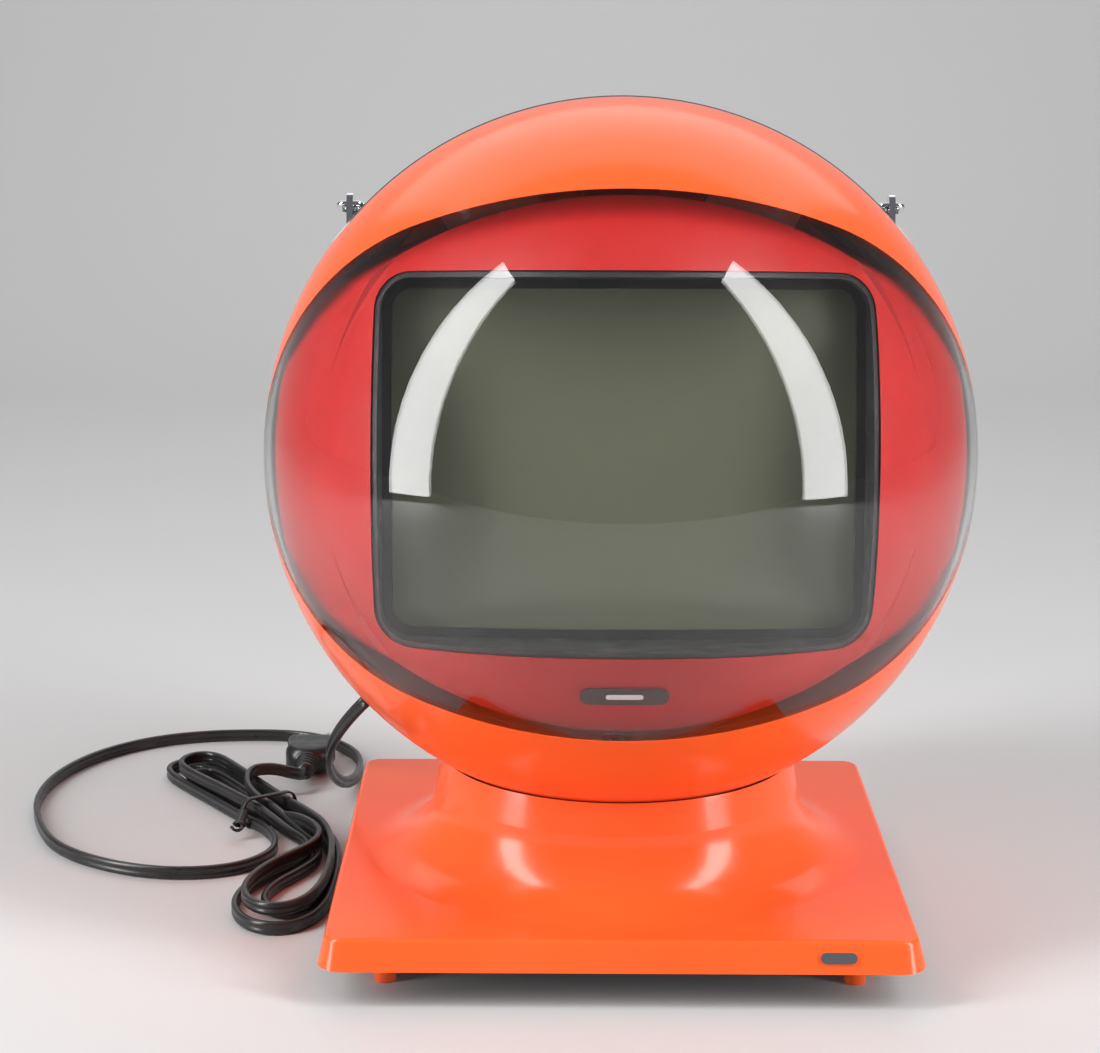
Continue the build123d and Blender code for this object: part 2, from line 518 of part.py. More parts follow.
# ---- back of the ball ---------------------------------------------------
def make_back():
    boss_y = ANTENNA_Y - 5.5
    socket = rod(ANTENNA_X, 78, boss_y - 3.2, ANTENNA_Z, 9.0) - Sphere(BALL_R + 0.02)
    socket += rod(ANTENNA_X, 84, boss_y - 4.0, ANTENNA_Z, 5.0)
    socket -= rod(ANTENNA_X, 70, 140, ANTENNA_Z, 3.0 + RUNNING)
    save_in_ball("antenna_socket", socket)
    turret = rod(ANTENNA_X, boss_y - 2.8, boss_y - 0.5, ANTENNA_Z, 7.0)
    turret += rod(ANTENNA_X, 81, boss_y - 1, ANTENNA_Z, 3.0)
    cheek = Pos(ANTENNA_X, ANTENNA_Y - 1.0, ANTENNA_Z) * (Box(11.0, 10.2, 8.4))
    turret += cheek - Pos(ANTENNA_X, ANTENNA_Y, ANTENNA_Z) * Box(5.4, 10.6, 20)
    turret -= Pos(ANTENNA_X, ANTENNA_Y, ANTENNA_Z) * Rot(Y=90) * Cylinder(1.5 + RUNNING, 20)
    save_in_ball("antenna_turret", turret)
    folded = Pos(ANTENNA_X, ANTENNA_Y, ANTENNA_Z) * Rot(Y=180)
    knuckle = Rot(Y=90) * Cylinder(4.0, 4.8) + Rot(Y=90) * Cylinder(1.5, 11.6)
    knuckle += Pos(0, 0, -5.5) * Cylinder(2.4, 5.0)
    outer_top = -8.0
    sections = []
    for k, radius in enumerate(ANTENNA_RADII):
        bore = ANTENNA_RADII[k + 1] + RUNNING if k + 1 < len(ANTENNA_RADII) else 0
        top = outer_top - 2.0 - 2.0 * k if k else outer_top
        bottom = outer_top - ANTENNA_LENGTH - 2.5 * k
        section = Pos(0, 0, (top + bottom) / 2) * Cylinder(radius, top - bottom)
        if bore:
            section -= Pos(0, 0, (top - 1.5 + bottom) / 2 - 1) * Cylinder(bore, top - 1.5 - bottom + 2)
        else:
            section += Pos(0, 0, bottom - 2.4) * fillet(Cylinder(2.6, 4.8).edges(), 1.0)
        sections.append(folded * section)
    save_in_ball("antenna_knuckle", folded * knuckle)
    for k, section in enumerate(sections):
        save_in_ball(f"antenna_section_{k + 1}", section)

    bodies = []
    for name, (x, z) in zip(("vertical_hold", "horizontal_hold"), HOLD_PLACES):
        place = on_back(x, z)
        turning = Pos(0, 0, 0.5) * knob(5.0, 5.5, 12) + Pos(0, 0, -5) * Cylinder(1.8, 12)
        save_in_ball(f"{name}_knob", place * turning)
        body = Pos(0, 0, -3.2 - 4) * Cylinder(6.5, 7.6) - Cylinder(1.8 + RUNNING, 40)
        bodies.append(place * body)
    save_in_ball("hold_controls", *bodies)
    jack = Pos(0, 0, -4) * Cylinder(4.1, 12) + Pos(0, 0, 1.2) * Cylinder(5.6, 1.6) - Pos(0, 0, 0) * Cylinder(1.8, 30)
    save_in_ball("earphone_jack", on_back(*JACK_PLACE) * jack)
    block = on_back(*TERMINAL_PLACE) * (Pos(0, 0, 1.6) * Box(16, 34, 4.4)) - Sphere(BALL_R + 0.02)
    save_in_ball("antenna_terminals", block)
    posts = [on_back(*TERMINAL_PLACE) * Pos(0, y, 3.9) * screw(3.2, 2.0, 1.2, 0.1) for y in (-11, 0, 11)]

    rear_screws = list(posts)
    for x, z in ((0, 112), (-104, 52), (104, 52), (-46, -106), (46, -106)):
        rear_screws.append(on_back(x, z) * Pos(0, 0, 0.02) * screw(3.0, 1.8, 0.1, 0.01))
    save_in_ball("rear_screws", *rear_screws)

    hub = tube_along_z(18.0, SPINDLE_R + RUNNING, 50.6, 56.0)
    save("swivel_hub", hub - Pos(0, 0, BALL_Z) * (Sphere(BALL_R + 50) - Sphere(BALL_R - WALL)))


# ---- power cord ---------------------------------------------------------
def gland_place():
    """Where the cord leaves the ball: +Z of the piece points outwards and down, in the table's frame."""
    fall, bearing = radians(GLAND_FALL), radians(GLAND_BEARING)
    out = Vector(cos(fall) * cos(bearing), cos(fall) * sin(bearing), -sin(fall))
    at = Vector(0, 0, BALL_Z) + out * BALL_R
    return Location(Plane(origin=at, z_dir=out))


FLOOR_RUN = CORD_D / 2 + 0.2     # height of the cord's centre where it lies on the table
CORD_ROUTE = [
    (-116.8, 87.9, 45.2),
    (-124.0, 103.0, 24.0),
    (-119.0, 124.0, 7.5),
    (-113.0, 149.0, FLOOR_RUN),
    (-115.0, 184.0, FLOOR_RUN),
    (-139.0, 212.0, FLOOR_RUN),
    (-178.0, 214.0, FLOOR_RUN),
    (-211.0, 205.0, FLOOR_RUN),
    (-236.0, 182.0, FLOOR_RUN),
    (-250.0, 150.0, FLOOR_RUN),
    (-253.0, 116.0, FLOOR_RUN),
    (-246.0, 84.0, FLOOR_RUN),
    (-233.0, 53.0, FLOOR_RUN),
    (-209.0, 32.0, FLOOR_RUN),
    (-182.0, 22.0, FLOOR_RUN),
    (-156.0, 26.0, FLOOR_RUN),
    (-141.5, 43.0, FLOOR_RUN),
    (-141.0, 62.0, FLOOR_RUN),
    (-148.0, 79.0, FLOOR_RUN),
]
TAIL_ROUTE = [(-151.0, 117.0, 8.6), (-139.0, 127.0, 7.8), (-137.0, 141.0, 7.6)]
HANK_OUTLINE = [
    (-136, 106), (-117, 78), (-111.2, 54), (-111.2, -6), (-113, -24), (-121, -37), (-133, -42), (-147, -36),
    (-153.5, -16), (-151, 6), (-142, 26), (-131, 42), (-132, 62), (-144, 76), (-160, 88), (-184, 122),
    (-205, 150), (-205, 166), (-197, 173), (-182, 172), (-158, 138),
]
HANK_H = 15.0
TIE_AT, TIE_TURN, TIE_W = (-147.5, 92.5), 34.0, 31.0


def round_cord(points):
    """Round cord of plain runs and arcs along a route."""
    radii = corner_radii(points)
    path = FilletPolyline(*points, radius=radii) if radii else Line(*points)
    start = Plane(origin=path @ 0, z_dir=path % 0)
    solid = sweep(start * Circle(CORD_D / 2), path)
    print("route length", round(path.length, 1), "section x length", round(path.length * pi * CORD_D**2 / 4),
          "volume", round(solid.volume), "smallest radius", round(min(radii), 1))
    return solid


def make_cord():
    place = gland_place()
    relief = Pos(0, 0, GLAND_L / 2) * Cone(6.4, 3.6, GLAND_L) + Pos(0, 0, -2) * Cylinder(5.0, 12)
    relief += Pos(0, 0, 1.8) * Cylinder(8.0, 3.6)
    relief -= [Pos(0, 0, 10 + 6 * k) * (Box(20, 1.6, 2.2) + Box(1.6, 20, 2.2)) - Pos(0, 0, 10 + 6 * k) * Cylinder(2.9, 9)
               for k in range(5)]
    save("cord_strain_relief", place * relief)

    tip = (place * Pos(0, 0, GLAND_L + 0.4)).position
    save("power_cord", round_cord([tuple(tip), *CORD_ROUTE]))
    save("cord_tail", round_cord(TAIL_ROUTE))

    outline = make_face(Polyline(*HANK_OUTLINE, close=True))
    outline = fillet(outline.vertices(), 3.0)
    hank = extrude(outline, amount=HANK_H)
    save("cord_hank", hank)

    plug_at = Pos(-137.0, 141.2, 7.6) * Rot(X=-90)
    body = Pos(0, 0, 7) * Cone(4.2, 6.6, 14) + Pos(0, 0, 24) * Box(22, 14, 22)
    body += GridLocations(12.7, 1, 2, 1) * (Pos(0, 0, 43) * Box(1.5, 6.3, 18))
    save("mains_plug", plug_at * body)

    tie = Rot(Z=TIE_TURN) * (Pos(0, 0, 8.2) * Box(TIE_W + 2.0, 5.0, 16.4) - Pos(0, 0, 7.6) * Box(TIE_W, 6, 15.2))
    save("cord_tie", Pos(*TIE_AT) * tie)


os.makedirs("parts", exist_ok=True)
make_base()
make_shells()
make_visor()
make_mask()
make_tube()
make_chassis()
make_panel()
make_controls()
make_chain()
make_back()
make_cord()
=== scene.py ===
"""A ball-shaped portable television on its square pedestal base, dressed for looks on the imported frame."""
import bpy
import bmesh
import json
import math
from mathutils import Matrix, Vector


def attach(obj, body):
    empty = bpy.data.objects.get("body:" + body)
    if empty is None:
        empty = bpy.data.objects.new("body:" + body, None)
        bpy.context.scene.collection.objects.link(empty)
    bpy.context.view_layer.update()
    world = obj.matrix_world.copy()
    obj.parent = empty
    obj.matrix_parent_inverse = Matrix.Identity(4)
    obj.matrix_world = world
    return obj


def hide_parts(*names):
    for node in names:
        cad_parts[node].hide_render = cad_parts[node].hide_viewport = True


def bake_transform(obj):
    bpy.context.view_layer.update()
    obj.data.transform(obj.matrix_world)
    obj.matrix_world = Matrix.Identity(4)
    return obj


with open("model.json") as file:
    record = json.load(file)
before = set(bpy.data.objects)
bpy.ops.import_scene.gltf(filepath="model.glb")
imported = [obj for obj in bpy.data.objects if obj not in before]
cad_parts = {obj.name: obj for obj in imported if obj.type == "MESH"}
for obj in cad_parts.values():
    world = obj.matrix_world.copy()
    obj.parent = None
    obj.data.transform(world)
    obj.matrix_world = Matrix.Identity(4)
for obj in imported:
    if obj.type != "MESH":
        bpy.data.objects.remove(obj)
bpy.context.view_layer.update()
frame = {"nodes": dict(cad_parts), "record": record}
scene = bpy.context.scene
nodes = frame["nodes"]

# ---- camera ---------------------------------------------------------------
CAMERA_AT = (-0.0226, -0.9702, 0.3677)
CAMERA_FALL = math.radians(12.5)
CAMERA_YAW = 0.004
CAMERA_ROLL = 0.0034
LENS_MM = 84.7

camera = bpy.data.objects.new("camera", bpy.data.cameras.new("camera"))
scene.collection.objects.link(camera)
camera.data.lens = LENS_MM
camera.data.sensor_width = 36.0
camera.data.sensor_fit = "HORIZONTAL"
camera.data.clip_start = 0.02
camera.data.clip_end = 30.0
turn = Matrix.Rotation(CAMERA_YAW, 4, "Z") @ Matrix.Rotation(math.pi / 2 - CAMERA_FALL, 4, "X")
turn = turn @ Matrix.Rotation(CAMERA_ROLL, 4, "Z")
camera.matrix_world = Matrix.Translation(CAMERA_AT) @ turn
scene.camera = camera


# ---- the ball -------------------------------------------------------------
BALL_R = 0.135
BALL_AT = Vector((0.0, 0.0, 0.1813))


# ---- materials --------------------------------------------------------------
def shader(name, color, roughness=0.4, metallic=0.0, coat=0.0, coat_roughness=0.05, ior=1.5):
    material = bpy.data.materials.new(name)
    material.use_nodes = True
    principled = material.node_tree.nodes["Principled BSDF"]
    principled.inputs["Base Color"].default_value = (*color, 1.0)
    principled.inputs["Roughness"].default_value = roughness
    principled.inputs["Metallic"].default_value = metallic
    principled.inputs["Coat Weight"].default_value = coat
    principled.inputs["Coat Roughness"].default_value = coat_roughness
    principled.inputs["IOR"].default_value = ior
    return material


def add(material, kind, **values):
    node = material.node_tree.nodes.new(kind)
    for key, value in values.items():
        if key in node.inputs:
            node.inputs[key].default_value = value
        else:
            setattr(node, key, value)
    return node


def wire(material, a, b):
    material.node_tree.links.new(a, b)


def noise(material, scale, detail=3.0, stretch=(1, 1, 1)):
    coords = add(material, "ShaderNodeTexCoord")
    mapping = add(material, "ShaderNodeMapping")
    mapping.inputs["Scale"].default_value = stretch
    wire(material, coords.outputs["Object"], mapping.inputs["Vector"])
    texture = add(material, "ShaderNodeTexNoise", Scale=scale, Detail=detail, Roughness=0.55)
    wire(material, mapping.outputs["Vector"], texture.inputs["Vector"])
    return texture


def ramp(material, source, low, high, a=0.3, b=0.7):
    node = add(material, "ShaderNodeMapRange")
    node.inputs["From Min"].default_value = a
    node.inputs["From Max"].default_value = b
    node.inputs["To Min"].default_value = low
    node.inputs["To Max"].default_value = high
    wire(material, source, node.inputs["Value"])
    return node.outputs["Result"]


def mottle(material, color_a, color_b, scale, a=0.3, b=0.7):
    """Base colour that drifts between two close shades."""
    texture = noise(material, scale)
    mix = add(material, "ShaderNodeMix", data_type="RGBA")
    mix.inputs["A"].default_value = (*color_a, 1.0)
    mix.inputs["B"].default_value = (*color_b, 1.0)
    wire(material, ramp(material, texture.outputs["Fac"], 0.0, 1.0, a, b), mix.inputs["Factor"])
    principled = material.node_tree.nodes["Principled BSDF"]
    wire(material, mix.outputs["Result"], principled.inputs["Base Color"])


def uneven_gloss(material, low, high, scale, stretch=(1, 1, 1)):
    """Roughness that drifts between low and high."""
    texture = noise(material, scale, detail=4.0, stretch=stretch)
    principled = material.node_tree.nodes["Principled BSDF"]
    wire(material, ramp(material, texture.outputs["Fac"], low, high), principled.inputs["Roughness"])


def relief(material, scale, depth, strength=0.3, detail=2.0, stretch=(1, 1, 1)):
    """Fine unevenness of the surface, depth in metres."""
    texture = noise(material, scale, detail=detail, stretch=stretch)
    bump = add(material, "ShaderNodeBump", Strength=strength, Distance=depth)
    wire(material, texture.outputs["Fac"], bump.inputs["Height"])
    principled = material.node_tree.nodes["Principled BSDF"]
    wire(material, bump.outputs["Normal"], principled.inputs["Normal"])


def moulded_plastic(name, color, darker, roughness=(0.16, 0.26), coat=0.10):
    material = shader(name, color, coat=coat, coat_roughness=0.06, ior=1.38)
    mottle(material, color, darker, 9.0)
    uneven_gloss(material, roughness[0], roughness[1], 60.0)
    relief(material, 55.0, 0.00004, strength=0.25)
    return material


orange = moulded_plastic("orange_moulded", (0.95, 0.125, 0.026), (0.90, 0.108, 0.021))
red = moulded_plastic(
    "red_moulded", (0.33, 0.012, 0.011), (0.29, 0.010, 0.009), roughness=(0.34, 0.44), coat=0.05)

black = shader("black_moulded", (0.012, 0.012, 0.013), coat=0.1)
mottle(black, (0.012, 0.012, 0.013), (0.020, 0.020, 0.021), 40.0)
uneven_gloss(black, 0.32, 0.48, 90.0)
relief(black, 900.0, 0.00002, strength=0.3)

knob_black = shader("black_knob", (0.010, 0.010, 0.011), coat=0.3)
mottle(knob_black, (0.010, 0.010, 0.011), (0.018, 0.018, 0.018), 60.0)
uneven_gloss(knob_black, 0.22, 0.36, 120.0)

chrome = shader("bright_chrome", (0.80, 0.81, 0.83), metallic=1.0)
mottle(chrome, (0.80, 0.81, 0.83), (0.72, 0.73, 0.76), 45.0)
uneven_gloss(chrome, 0.05, 0.13, 80.0)

steel = shader("zinc_steel", (0.50, 0.51, 0.52), metallic=1.0)
mottle(steel, (0.52, 0.53, 0.54), (0.38, 0.38, 0.38), 35.0)
uneven_gloss(steel, 0.28, 0.48, 60.0, stretch=(1, 1, 6))
relief(steel, 260.0, 0.00003, strength=0.2, stretch=(1, 1, 8))

aluminium = shader("extruded_aluminium", (0.75, 0.76, 0.77), metallic=1.0)
mottle(aluminium, (0.75, 0.76, 0.77), (0.62, 0.63, 0.64), 30.0)
uneven_gloss(aluminium, 0.3, 0.45, 90.0, stretch=(1, 8, 1))

board = shader("phenolic_board", (0.20, 0.105, 0.035), coat=0.2)
mottle(board, (0.22, 0.12, 0.04), (0.14, 0.07, 0.022), 90.0)
uneven_gloss(board, 0.35, 0.55, 140.0)

components = shader("component_cases", (0.05, 0.08, 0.16), coat=0.3)
mottle(components, (0.05, 0.09, 0.18), (0.16, 0.12, 0.06), 60.0, 0.45, 0.55)
uneven_gloss(components, 0.25, 0.4, 150.0)

copper = shader("enamelled_winding", (0.50, 0.17, 0.06), metallic=1.0)
mottle(copper, (0.50, 0.17, 0.06), (0.30, 0.09, 0.03), 80.0)
uneven_gloss(copper, 0.3, 0.45, 200.0)
relief(copper, 700.0, 0.0002, strength=0.5, stretch=(1, 0.05, 1))

ferrite = shader("ferrite", (0.045, 0.045, 0.048))
mottle(ferrite, (0.05, 0.05, 0.052), (0.03, 0.03, 0.032), 120.0)
uneven_gloss(ferrite, 0.55, 0.7, 90.0)

felt = shader("pressed_felt", (0.015, 0.015, 0.016), roughness=0.95)
mottle(felt, (0.015, 0.015, 0.016), (0.035, 0.034, 0.034), 900.0)
relief(felt, 1600.0, 0.0003, strength=0.7, detail=5.0)

cord_rubber = shader("cord_jacket", (0.010, 0.010, 0.011), coat=0.15, coat_roughness=0.2)
mottle(cord_rubber, (0.010, 0.010, 0.011), (0.022, 0.021, 0.021), 60.0)
uneven_gloss(cord_rubber, 0.26, 0.42, 160.0)
relief(cord_rubber, 900.0, 0.00003, strength=0.3)

screen_glass = shader("screen_glass", (0.074, 0.079, 0.055), roughness=0.24, coat=0.15, coat_roughness=0.12)
mottle(screen_glass, (0.076, 0.081, 0.057), (0.070, 0.075, 0.051), 5.0)

visor = shader("smoked_visor", (0.93, 0.92, 0.91), roughness=0.02, ior=1.37)
visor.node_tree.nodes["Principled BSDF"].inputs["Transmission Weight"].default_value = 1.0
uneven_gloss(visor, 0.008, 0.022, 12.0)
mottle(visor, (0.93, 0.92, 0.91), (0.91, 0.90, 0.89), 6.0)

SLOT_MATERIAL = {
    "orange_body": orange, "red_mask": red, "smoke_visor": visor, "black_plastic": black,
    "tube_glass": screen_glass, "chrome": chrome, "steel": steel, "aluminium": aluminium,
    "board": board, "components": components, "copper": copper, "ferrite": ferrite,
    "felt": felt, "cord_rubber": cord_rubber,
}
slots = {row["node"]: row["material_slot"] for row in frame["record"]["subparts"]}
for name, cad in nodes.items():
    material = SLOT_MATERIAL[slots[name]]
    if name.endswith("_knob"):
        material = knob_black
    cad.data.materials.clear()
    cad.data.materials.append(material)
nodes["visor"].visible_shadow = False      # the light goes through it to the mask and tube


# ---- mesh helpers ------------------------------------------------------------
def mesh_object(name, bm, material):
    mesh = bpy.data.meshes.new(name)
    bmesh.ops.recalc_face_normals(bm, faces=bm.faces)
    bm.to_mesh(mesh)
    bm.free()
    for polygon in mesh.polygons:
        polygon.use_smooth = True
    mesh.materials.append(material)
    made = bpy.data.objects.new(name, mesh)
    scene.collection.objects.link(made)
    return made


def swept(name, line, section, material):
    """A tube of that section (sideways, upwards) along a line, kept upright."""
    bm = bmesh.new()
    rings = []
    for i, point in enumerate(line):
        ahead = line[min(i + 1, len(line) - 1)] - line[max(i - 1, 0)]
        ahead.normalize()
        side = ahead.cross(Vector((0, 0, 1)))
        side.normalize()
        over = side.cross(ahead)
        rings.append([bm.verts.new(point + side * a + over * b) for a, b in section])
    count = len(section)
    for near, far in zip(rings, rings[1:]):
        for k in range(count):
            bm.faces.new((near[k], near[(k + 1) % count], far[(k + 1) % count], far[k]))
    bm.faces.new(rings[0])
    bm.faces.new(rings[-1])
    return mesh_object(name, bm, material)


# ---- power cord ----------------------------------------------------------------
CORD_WIDTH = 0.0054
CORD_THICK = 0.0030
LOW = 0.0029
HIGH = 0.0086
GLAND_FALL, GLAND_BEARING, GLAND_LENGTH = math.radians(43), math.radians(143), 0.0424

gland_way = Vector((
    math.cos(GLAND_FALL) * math.cos(GLAND_BEARING),
    math.cos(GLAND_FALL) * math.sin(GLAND_BEARING),
    -math.sin(GLAND_FALL),
))
gland_tip = BALL_AT + gland_way * (BALL_R + GLAND_LENGTH)

CORD_ROUTE = [
    (-0.1168, 0.0879, 0.0452), (-0.1240, 0.1030, 0.0240), (-0.1190, 0.1240, 0.0075), (-0.1130, 0.1490, LOW),
    (-0.1150, 0.1840, LOW), (-0.1390, 0.2120, LOW), (-0.1780, 0.2140, LOW), (-0.2110, 0.2050, LOW),
    (-0.2360, 0.1820, LOW), (-0.2500, 0.1500, LOW), (-0.2530, 0.1160, LOW), (-0.2460, 0.0840, LOW),
    (-0.2330, 0.0530, LOW), (-0.2090, 0.0320, LOW), (-0.1820, 0.0220, LOW), (-0.1560, 0.0260, LOW),
    (-0.1415, 0.0430, LOW), (-0.1410, 0.0620, LOW), (-0.1480, 0.0790, LOW),
]

# Each turn: up through the tie, round the upper end, down through the tie, round the lower end.
TURNS = [
    [
        (-0.1560, 0.0880, LOW), (-0.1665, 0.1030, LOW), (-0.1780, 0.1195, LOW), (-0.1895, 0.1355, LOW),
        (-0.1985, 0.1490, LOW), (-0.2010, 0.1600, LOW), (-0.1940, 0.1690, LOW), (-0.1835, 0.1660, LOW),
        (-0.1740, 0.1530, LOW), (-0.1620, 0.1345, LOW), (-0.1500, 0.1150, LOW), (-0.1385, 0.0975, LOW),
        (-0.1285, 0.0830, LOW), (-0.1190, 0.0680, LOW), (-0.1140, 0.0510, LOW), (-0.1125, 0.0280, LOW),
        (-0.1125, 0.0050, LOW), (-0.1140, -0.0160, LOW), (-0.1200, -0.0320, LOW), (-0.1310, -0.0385, LOW),
        (-0.1425, -0.0330, LOW), (-0.1500, -0.0170, LOW), (-0.1490, 0.0020, LOW), (-0.1410, 0.0185, LOW),
        (-0.1315, 0.0330, LOW), (-0.1260, 0.0470, LOW), (-0.1280, 0.0610, LOW), (-0.1375, 0.0740, LOW),
    ],
    [
        (-0.1515, 0.0880, HIGH), (-0.1615, 0.1010, HIGH), (-0.1725, 0.1160, HIGH), (-0.1835, 0.1300, HIGH),
        (-0.1920, 0.1420, HIGH), (-0.1940, 0.1520, HIGH), (-0.1880, 0.1610, HIGH), (-0.1780, 0.1590, HIGH),
        (-0.1690, 0.1450, HIGH), (-0.1590, 0.1280, HIGH), (-0.1490, 0.1110, HIGH), (-0.1400, 0.0965, HIGH),
        (-0.1300, 0.0820, HIGH), (-0.1220, 0.0680, HIGH), (-0.1170, 0.0500, HIGH), (-0.1150, 0.0280, HIGH),
        (-0.1150, 0.0060, HIGH), (-0.1170, -0.0130, HIGH), (-0.1225, -0.0270, HIGH), (-0.1320, -0.0330, HIGH),
        (-0.1415, -0.0270, HIGH), (-0.1465, -0.0130, HIGH), (-0.1440, 0.0040, HIGH), (-0.1370, 0.0200, HIGH),
        (-0.1270, 0.0340, HIGH), (-0.1215, 0.0480, HIGH), (-0.1235, 0.0620, HIGH), (-0.1345, 0.0770, HIGH),
    ],
    [
        (-0.1490, 0.0930, LOW), (-0.1600, 0.1050, LOW), (-0.1710, 0.1180, LOW), (-0.1815, 0.1310, LOW),
        (-0.1905, 0.1440, LOW), (-0.1892, 0.1502, LOW), (-0.1840, 0.1536, LOW), (-0.1778, 0.1522, LOW),
        (-0.1655, 0.1330, LOW), (-0.1545, 0.1135, LOW), (-0.1432, 0.0960, LOW), (-0.1335, 0.0825, LOW),
        (-0.1240, 0.0685, LOW),
        (-0.1178, 0.0530, LOW), (-0.1160, 0.0340, LOW), (-0.1160, 0.0120, LOW), (-0.1175, -0.0060, LOW),
        (-0.1230, -0.0190, LOW), (-0.1320, -0.0210, LOW), (-0.1395, -0.0100, LOW), (-0.1370, 0.0070, LOW),
        (-0.1280, 0.0230, LOW), (-0.1215, 0.0380, LOW), (-0.1225, 0.0540, LOW), (-0.1320, 0.0720, LOW),
    ],
]
TAIL_ROUTE = [
    (-0.1450, 0.0880, HIGH), (-0.1540, 0.1010, HIGH), (-0.1600, 0.1130, 0.0110), (-0.1590, 0.1230, 0.0142),
    (-0.1500, 0.1270, 0.0142), (-0.1400, 0.1290, 0.0110), (-0.1370, 0.1370, 0.0080), (-0.1370, 0.1430, 0.0076),
]


def figure_eight(width, thick, groove, around=28):
    """Twin flat section: two round cores side by side with a groove between, standing on edge."""
    points = []
    for k in range(around):
        angle = 2 * math.pi * k / around
        up = math.sin(angle)
        half = width / 2 * up
        side = math.cos(angle)
        bulge = abs(side) ** 0.55 * (1 if side >= 0 else -1)
        dent = groove * math.exp(-((up / 0.28) ** 2))
        points.append((bulge * (thick / 2 - dent), half))
    return points


def spline_line(name, points, resolution=10):
    """Points along the smooth spline whose control points these are."""
    curve = bpy.data.curves.new(name, "CURVE")
    curve.dimensions = "3D"
    curve.resolution_u = resolution
    spline = curve.splines.new("NURBS")
    spline.points.add(len(points) - 1)
    for control, point in zip(spline.points, points):
        control.co = (*point, 1.0)
    spline.order_u = 3
    spline.use_endpoint_u = True
    holder = bpy.data.objects.new(name, curve)
    scene.collection.objects.link(holder)
    bpy.context.view_layer.update()
    mesh = bpy.data.meshes.new_from_object(holder)
    line = [vertex.co.copy() for vertex in mesh.vertices]
    bpy.data.objects.remove(holder)
    return line


cord_points = [tuple(gland_tip)] + CORD_ROUTE
for one_turn in TURNS:
    cord_points += one_turn
cord_points += TAIL_ROUTE
cord_line = spline_line("cord_route", cord_points)
cord = swept("cord", cord_line, figure_eight(CORD_WIDTH, CORD_THICK, 0.00055), cord_rubber)


# ---- the tie round the hank, and the plug ------------------------------------------
def rounded_loop(centre, across, wide, low, high, corner, steps=6):
    """Points round a bundle, in the upright plane through the direction across."""
    points = []
    for sx, sz, start in ((1, 1, 0), (-1, 1, 90), (-1, -1, 180), (1, -1, 270)):
        cx, cz = sx * (wide / 2 - corner), (high - corner) if sz > 0 else (low + corner)
        for k in range(steps + 1):
            angle = math.radians(start + 90 * k / steps)
            out = across * (cx + corner * math.cos(angle))
            points.append(centre + out + Vector((0, 0, cz + corner * math.sin(angle))))
    return points


def ribbon_loop(name, points, normal_to, width, thick, material):
    """A closed band of that width and thickness along a ring of points."""
    bm = bmesh.new()
    middle = sum(points, Vector()) / len(points)
    rings = []
    for i, point in enumerate(points):
        ahead = (points[(i + 1) % len(points)] - points[i - 1]).normalized()
        out = ahead.cross(normal_to).normalized()
        if out.dot(point - middle) < 0:
            out = -out
        edge = normal_to * (width / 2)
        soft = normal_to * (width / 2 - thick)
        inner = out * thick * 0.2
        corners = (-edge, -soft + out * thick, soft + out * thick, edge, soft - inner, -soft - inner)
        rings.append([bm.verts.new(point + corner) for corner in corners])
    count = len(rings)
    for i in range(count):
        near, far = rings[i], rings[(i + 1) % count]
        for k in range(6):
            bm.faces.new((near[k], near[(k + 1) % 6], far[(k + 1) % 6], far[k]))
    return mesh_object(name, bm, material)


def circle(radius, around=12):
    angles = [2 * math.pi * k / around for k in range(around)]
    return [(radius * math.cos(angle), radius * math.sin(angle)) for angle in angles]


TIE_AT = Vector((-0.1475, 0.0920, 0.0))
ALONG = Vector((-0.547, 0.837, 0.0)).normalized()
ACROSS = Vector((0.837, 0.547, 0.0)).normalized()
tie_path = rounded_loop(TIE_AT, ACROSS, 0.0245, 0.0006, 0.0130, 0.0040)
tie = ribbon_loop("twist_tie", tie_path, ALONG, 0.0034, 0.0007, black)
twist_root = TIE_AT - ACROSS * 0.0118 + Vector((0, 0, 0.0085))
twist_way = (-ACROSS * 0.55 - ALONG * 0.75 + Vector((0, 0, -0.12))).normalized()
twist_side = twist_way.cross(Vector((0, 0, 1))).normalized()
twist_up = twist_side.cross(twist_way)
for strand, phase in (("tie_end_a", 0.0), ("tie_end_b", math.pi)):
    line = []
    for k in range(41):
        t = k / 40
        angle = phase + 7.0 * math.pi * t
        spread = 0.0011 + 0.0016 * max(0.0, t - 0.8) * 5
        line.append(
            twist_root + twist_way * (0.016 * t)
            + twist_side * (spread * math.cos(angle)) + twist_up * (spread * math.sin(angle))
        )
    end = swept(strand, line, [(a * 1.5, b * 0.8) for a, b in circle(0.0008)], black)
    end.parent = tie
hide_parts("cord_tie")
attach(tie, "base")


def rounded_section(wide, high, corner, steps=5):
    corner = min(corner, wide / 2 - 1e-5, high / 2 - 1e-5)
    points = []
    for sx, sz, start in ((1, 1, 0), (-1, 1, 90), (-1, -1, 180), (1, -1, 270)):
        for k in range(steps + 1):
            angle = math.radians(start + 90 * k / steps)
            points.append((
                sx * (wide / 2 - corner) + corner * math.cos(angle),
                sz * (high / 2 - corner) + corner * math.sin(angle),
            ))
    return points


def lofted(name, stations, at, material):
    """Rounded sections (distance along +Y, width, height, corner) joined into one skin."""
    bm = bmesh.new()
    rings = []
    for along, wide, high, corner in stations:
        section = rounded_section(wide, high, corner)
        rings.append([bm.verts.new(at + Vector((a, along, b))) for a, b in section])
    for near, far in zip(rings, rings[1:]):
        for k in range(len(near)):
            bm.faces.new((near[k], near[(k + 1) % len(near)], far[(k + 1) % len(near)], far[k]))
    bm.faces.new(rings[0])
    bm.faces.new(rings[-1])
    return mesh_object(name, bm, material)


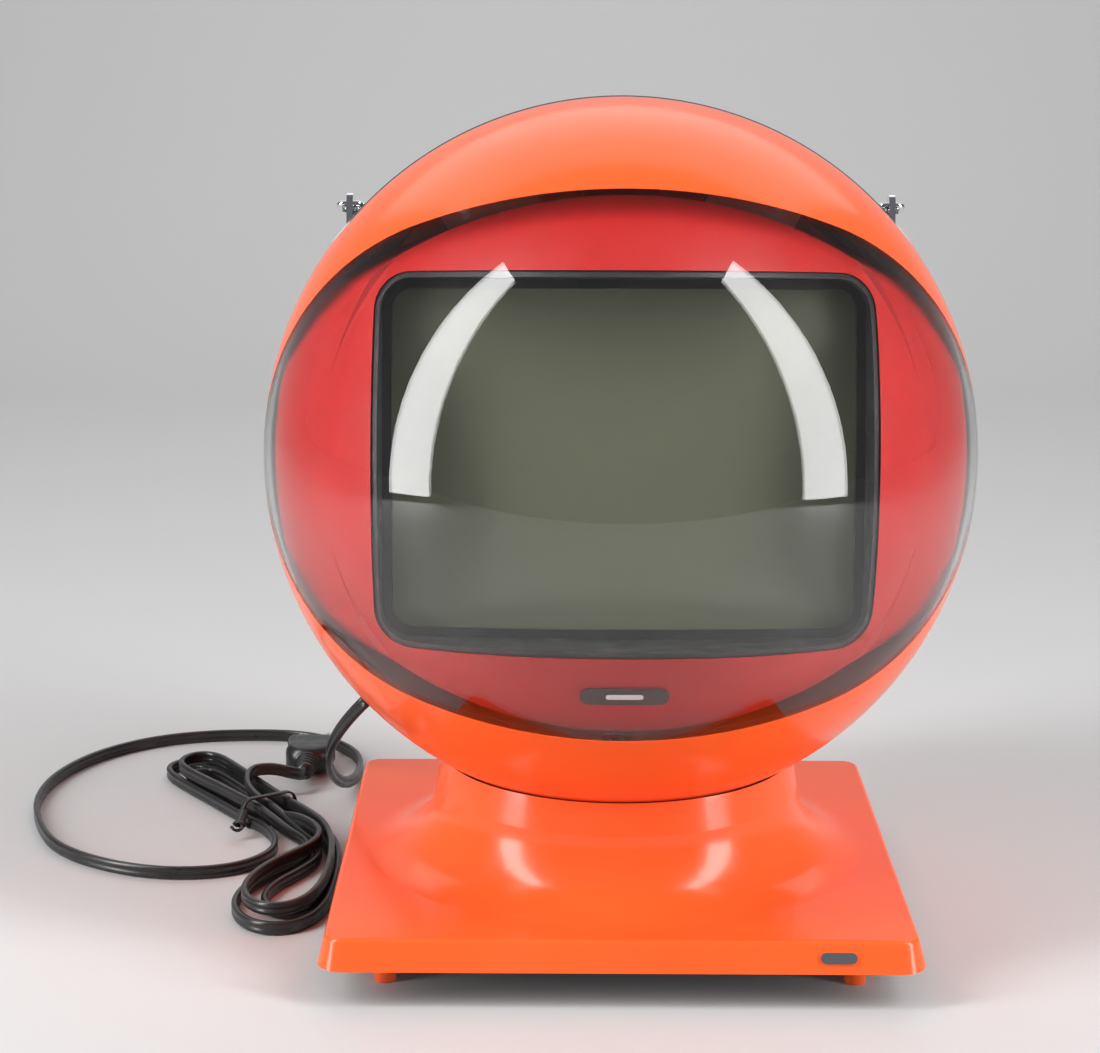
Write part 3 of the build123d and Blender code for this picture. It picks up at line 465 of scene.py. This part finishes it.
PLUG_AT = Vector((-0.1370, 0.1412, 0.0078))
stations = [(0.0, 0.0066, 0.0066, 0.0033)]
for k in range(5):
    start = 0.0012 + 0.0026 * k
    girth = 0.0080 + 0.0007 * k
    stations += [
        (start, girth, girth, girth / 2), (start + 0.0014, girth, girth, girth / 2),
        (start + 0.0016, girth - 0.0018, girth - 0.0018, girth / 2 - 0.0009),
        (start + 0.0024, girth - 0.0018, girth - 0.0018, girth / 2 - 0.0009),
    ]
stations += [
    (0.0142, 0.0120, 0.0098, 0.0048), (0.0160, 0.0165, 0.0118, 0.0050), (0.0185, 0.0200, 0.0132, 0.0046),
    (0.0210, 0.0212, 0.0138, 0.0040), (0.0250, 0.0206, 0.0132, 0.0038), (0.0290, 0.0206, 0.0132, 0.0038),
    (0.0320, 0.0216, 0.0140, 0.0038), (0.0342, 0.0218, 0.0142, 0.0034), (0.0350, 0.0208, 0.0132, 0.0030),
]
plug = lofted("plug_body", stations, PLUG_AT, cord_rubber)
for name, side in (("plug_blade_left", -1), ("plug_blade_right", 1)):
    blade = lofted(name, [
        (0.0345, 0.0015, 0.0062, 0.0004), (0.0500, 0.0015, 0.0062, 0.0004), (0.0522, 0.0008, 0.0040, 0.0003),
    ], PLUG_AT + Vector((side * 0.00635, 0, 0)), steel)
    blade.parent = plug
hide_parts("mains_plug")
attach(plug, "base")
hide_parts("power_cord", "cord_tail", "cord_hank")
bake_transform(cord)


# ---- floor and light -------------------------------------------------------------
floor_material = shader("floor_paper", (0.62, 0.62, 0.62), roughness=0.6)
bm = bmesh.new()
DEEP, NEAR, HALF, HEIGHT, BEND = 1.9, -1.1, 3.0, 2.6, 0.7
profile = [(NEAR, 0.0), (DEEP - BEND, 0.0)]
profile += [
    (DEEP - BEND + BEND * math.sin(math.radians(a)), BEND - BEND * math.cos(math.radians(a)))
    for a in range(6, 91, 6)
]
profile.append((DEEP, HEIGHT))
left = [bm.verts.new((-HALF, y, z)) for y, z in profile]
right = [bm.verts.new((HALF, y, z)) for y, z in profile]
for a, b, c, d in zip(left, left[1:], right[1:], right):
    bm.faces.new((a, b, c, d))
floor = mesh_object("floor", bm, floor_material)


def softbox(name, at, target, size, power):
    light = bpy.data.lights.new(name, "AREA")
    light.shape = "RECTANGLE"
    light.size, light.size_y = size
    light.energy = power
    holder = bpy.data.objects.new(name, light)
    scene.collection.objects.link(holder)
    away = Vector(at) - Vector(target)
    holder.matrix_world = Matrix.Translation(at) @ away.to_track_quat("Z", "Y").to_matrix().to_4x4()


softbox("left_strip", (-1.2, -0.54, 1.14), (0.0, -0.40, 1.14), (0.34, 2.2), 36)
softbox("right_strip", (1.2, -0.65, 1.24), (0.0, -0.50, 1.24), (0.38, 2.4), 40)
softbox("top_box", (0.0, 1.30, 1.7), (0.0, 0.0, 0.17), (2.8, 1.5), 14)

world = bpy.data.worlds.new("studio")
world.use_nodes = True
world.node_tree.nodes["Background"].inputs["Color"].default_value = (0.75, 0.77, 0.80, 1.0)
world.node_tree.nodes["Background"].inputs["Strength"].default_value = 0.20
scene.world = world
scene.view_settings.view_transform = "Standard"
